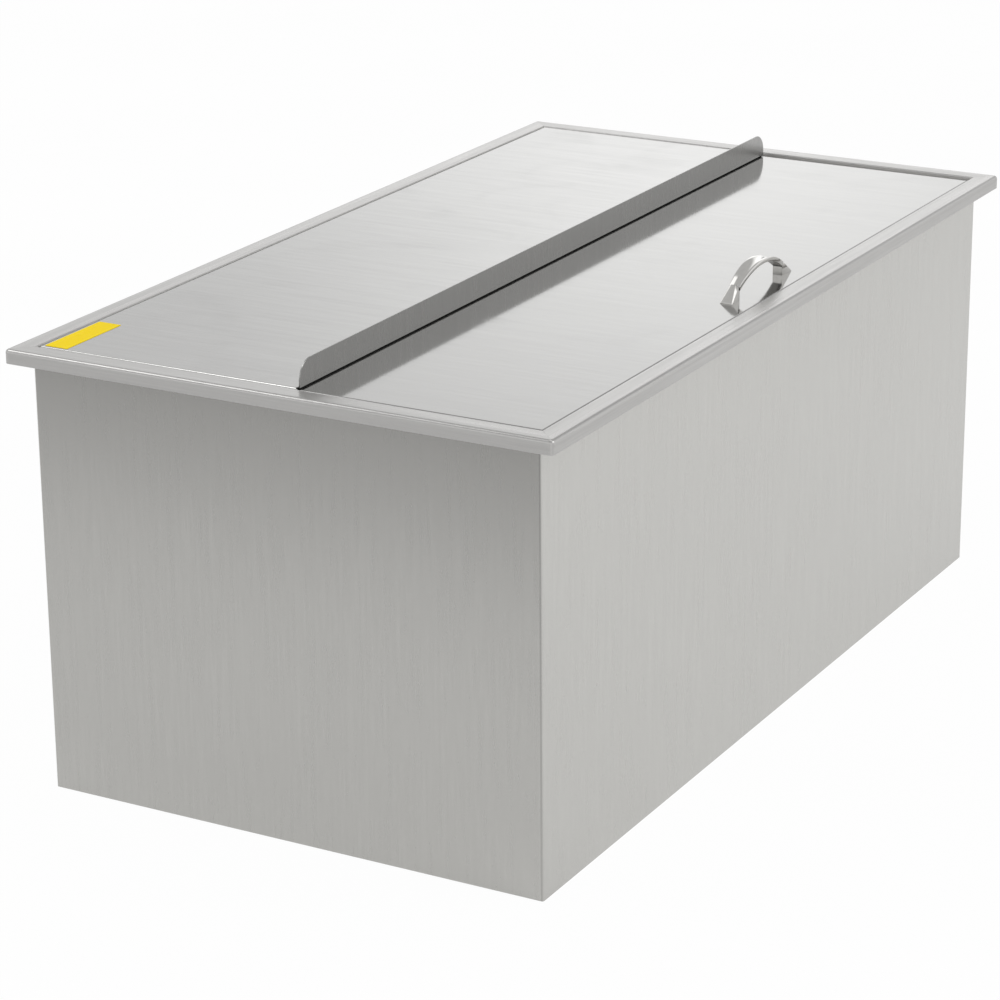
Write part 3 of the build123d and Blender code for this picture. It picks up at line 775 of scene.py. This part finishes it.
class CHEST_OT_drain_threads(bpy.types.Operator):
    """Cut the threads on the drain's cup and tail"""
    bl_idname = "chest.drain_threads"
    bl_label = "Drain threads"

    steps = 40
    ridge = 0.55
    ridge_form = (0.6, 1, 0.8)
    tail_radius = 13.2 * MM
    cup_radius = 24.0 * MM
    cup_low = 24.0 * MM

    def thread(self, name, radius, low, high, pitch):
        """One helical ridge on a cylinder."""
        start = (radius, 0, low + pitch)
        deselect()
        bpy.ops.mesh.primitive_circle_add(
            vertices=3, radius=pitch * self.ridge, fill_type="NOTHING",
            location=start, rotation=(math.radians(90), 0, 0))
        piece = named(name)
        bpy.ops.object.mode_set(mode="EDIT")
        bpy.ops.mesh.select_all(action="SELECT")
        bpy.ops.transform.rotate(value=math.radians(90), orient_axis="Y", center_override=start)
        bpy.ops.transform.resize(value=self.ridge_form, center_override=start)
        bpy.ops.object.mode_set(mode="OBJECT")
        turns = int((high - low) / pitch) - 1
        modified(piece, "SCREW", axis="Z", angle=2 * math.pi, screw_offset=pitch, iterations=turns,
                 steps=self.steps, render_steps=self.steps, use_merge_vertices=True)
        take(piece)
        bpy.ops.object.mode_set(mode="EDIT")
        pick(piece, "EDGE", lambda edge: edge.is_boundary)
        bpy.ops.mesh.edge_face_add()
        bpy.ops.mesh.select_all(action="SELECT")
        bpy.ops.mesh.normals_make_consistent(inside=False)
        bpy.ops.object.mode_set(mode="OBJECT")
        return piece

    def execute(self, context):
        pitch = context.scene.chest_details.thread_pitch
        tail = self.thread("thread_tail", self.tail_radius, DRAIN_FOOT, self.cup_low, pitch)
        neck = self.thread("thread_cup", self.cup_radius, self.cup_low, LOCKNUT_FOOT, pitch)
        piece = joined("drain_threads", [tail, neck])
        dress(piece, material_named("drain_steel"))
        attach(piece, "chest")
        return {"FINISHED"}


class CHEST_OT_stage(bpy.types.Operator):
    """Set the floor, the lamps, the room's light and the camera"""
    bl_idname = "chest.stage"
    bl_label = "Stage"

    # A fade's steps are (where, how bright): along the chest on the floor, by steepness on the ceiling
    floor_near = ((-0.60, 0.85), (-0.30, 1.0))
    floor_far = ((-1.50, 0.50), (-0.95, 1.0))
    ceiling = ((0.37, 1.0), (0.50, 0.54))
    floor_size = 30
    floor_colour = (0.97, 0.97, 0.97)
    floor_front = -0.35
    floor_slope = 3.0
    floor_cloud = 0.01
    floor_white = 0.98
    floor_mirrored = 0.6
    middle = (0, 0, 0.25)
    lamps = {
        "key": dict(place=(0.6, -3.2, 2.6), target=middle, size=(3.2, 3.2), fade=0.5),
        "back": dict(place=(7.08, 3.15, 2.04), target=middle, size=(4.44, 3.86), fade=0.5),
        "top": dict(place=(0.1, -0.725, 3.2), target=(0.1, -0.725, 0), size=(1.6, 2.55), fade=0.06),
        "rear": dict(place=(-0.9, 2.4, 3.2), target=(-0.9, 2.4, 0), size=(1.8, 1.8), fade=0.12),
    }

    def lamp(self, name, power, place, target, size, fade):
        """A large softbox turned to a point, fading towards its edges."""
        data = bpy.data.lights.new(name, "AREA")
        data.shape = "RECTANGLE"
        data.size, data.size_y = size
        data.energy = power
        data.use_nodes = True
        tree = Tree(data.node_tree)
        across = tree.split(tree.node("ShaderNodeNewGeometry").outputs["Parametric"])
        fades = []
        for value in across[:2]:
            off_middle = tree.math("ABSOLUTE", tree.math("SUBTRACT", value, 0.5))
            fades.append(tree.ramp(off_middle, 0.5 - fade, 0.5, 1.0, 0.0))
        strength = tree.math("MULTIPLY", *fades)
        tree.link(strength, data.node_tree.nodes["Emission"].inputs["Strength"])
        lamp = bpy.data.objects.new(name, data)
        lamp.location = place
        lamp.rotation_euler = (Vector(target) - Vector(place)).to_track_quat("-Z", "Y").to_euler()
        bpy.context.scene.collection.objects.link(lamp)

    def floor(self):
        """A pale floor that keeps the chest's shadow, dimmer to the left, less so in front."""
        deselect()
        bpy.ops.mesh.primitive_plane_add(size=self.floor_size, location=(0, 0, 0))
        floor = named("floor")
        material, tree, shader, place = new_material("floor_pale")
        path = tree.node("ShaderNodeLightPath").outputs
        camera = path["Is Camera Ray"]
        mirrored = tree.math("MAXIMUM", path["Is Glossy Ray"], path["Is Transmission Ray"])
        mirrored = tree.math("MULTIPLY", mirrored, self.floor_mirrored)
        spot = tree.split(place)
        before = tree.math("MAXIMUM", tree.math("SUBTRACT", self.floor_front, spot[1]), 0.0)
        along = tree.math("MULTIPLY_ADD", before, self.floor_slope, spot[0])
        near, far = (tree.ramp(along, start[0], end[0], start[1], end[1]) for start, end in
                     (self.floor_near, self.floor_far))
        cloud = tree.math("MULTIPLY_ADD", tree.noise(place, 3.0, detail=3.0),
                          self.floor_cloud, 1.0 - self.floor_cloud)
        tone = tree.math("MULTIPLY", cloud, tree.math("MAXIMUM", tree.math("MULTIPLY", near, far), camera))
        tree.link(tinted(tree, self.floor_colour, tone), shader.inputs["Base Color"])
        shader.inputs["Roughness"].default_value = 0.9
        shader.inputs["Specular IOR Level"].default_value = 0.0
        white = tree.node("ShaderNodeEmission")
        mix = tree.node("ShaderNodeMixShader")
        tree.link(tone, white.inputs["Strength"])
        tree.link(tree.math("MULTIPLY_ADD", camera, self.floor_white, mirrored), mix.inputs["Fac"])
        tree.link(shader.outputs[0], mix.inputs[1])
        tree.link(white.outputs[0], mix.inputs[2])
        tree.link(mix.outputs[0], material.node_tree.nodes["Material Output"].inputs["Surface"])
        floor.data.materials.append(material)

    def room(self, level):
        """White for the camera, white under a dimmer ceiling in reflections, and an even grey otherwise."""
        world = bpy.data.worlds.new("room")
        world.use_nodes = True
        bpy.context.scene.world = world
        world.node_tree.nodes.clear()
        tree = Tree(world.node_tree)
        path = tree.node("ShaderNodeLightPath").outputs
        seen = tree.math("MAXIMUM", path["Is Camera Ray"],
                         tree.math("MAXIMUM", path["Is Glossy Ray"], path["Is Transmission Ray"]))
        even = tree.node("ShaderNodeBackground")
        even.inputs["Strength"].default_value = level
        white = tree.node("ShaderNodeBackground")
        height = tree.split(tree.node("ShaderNodeTexCoord").outputs["Generated"])[2]
        start, end = self.ceiling
        dimmed = tree.ramp(height, start[0], end[0], start[1], end[1])
        tree.link(tree.math("MAXIMUM", path["Is Camera Ray"], dimmed), white.inputs["Strength"])
        mix = tree.node("ShaderNodeMixShader")
        for source, target in ((seen, mix.inputs["Fac"]), (even.outputs[0], mix.inputs[1]),
                               (white.outputs[0], mix.inputs[2])):
            tree.link(source, target)
        for background in (even, white):
            background.inputs["Color"].default_value = (1, 1, 1, 1)
        tree.link(mix.outputs[0], tree.node("ShaderNodeOutputWorld").inputs["Surface"])

    def camera(self, stage):
        """The camera at the photograph's place and angle."""
        data = bpy.data.cameras.new("camera")
        data.sensor_width = 36
        data.lens = stage.lens
        camera = bpy.data.objects.new("camera", data)
        camera.location = stage.camera_place
        camera.rotation_euler = (math.pi / 2 - stage.camera_elevation, 0, stage.camera_azimuth)
        turned = camera.rotation_euler.to_matrix() @ Matrix.Rotation(stage.camera_roll, 3, "Z")
        camera.rotation_euler = turned.to_euler()
        bpy.context.scene.collection.objects.link(camera)
        bpy.context.scene.camera = camera

    def execute(self, context):
        stage = context.scene.chest_stage
        context.scene.view_settings.view_transform = "Standard"
        self.floor()
        self.room(stage.room_light)
        for lamp, settings in self.lamps.items():
            self.lamp("lamp_" + lamp, getattr(stage, lamp + "_power"), **settings)
        self.camera(stage)
        return {"FINISHED"}


class CHEST_PT_panel(bpy.types.Panel):
    """The chest's steps and settings"""
    bl_idname = "CHEST_PT_panel"
    bl_label = "Ice chest"
    bl_space_type = "VIEW_3D"
    bl_region_type = "UI"
    bl_category = "Ice chest"

    def draw(self, context):
        for operator in OPERATORS:
            self.layout.operator(operator.bl_idname)
        for group in (context.scene.chest_finishes, context.scene.chest_details, context.scene.chest_stage):
            box = self.layout.box()
            for key in group.__annotations__:
                box.prop(group, key)


OPERATORS = (CHEST_OT_finishes, CHEST_OT_handle, CHEST_OT_grip, CHEST_OT_label, CHEST_OT_drain_threads,
             CHEST_OT_stage)
GROUPS = {"chest_finishes": ChestFinishes, "chest_details": ChestDetails, "chest_stage": ChestStage}


def register():
    for kind in (*GROUPS.values(), *OPERATORS, CHEST_PT_panel):
        bpy.utils.register_class(kind)
    for name, kind in GROUPS.items():
        setattr(bpy.types.Scene, name, PointerProperty(type=kind))


def unregister():
    for name in GROUPS:
        delattr(bpy.types.Scene, name)
    for kind in reversed((*GROUPS.values(), *OPERATORS, CHEST_PT_panel)):
        bpy.utils.unregister_class(kind)


def main():
    """Runs each step in order."""
    register()
    for operator in OPERATORS:
        getattr(bpy.ops.chest, operator.bl_idname.split(".")[1])()


if __name__ == "__main__":
    main()
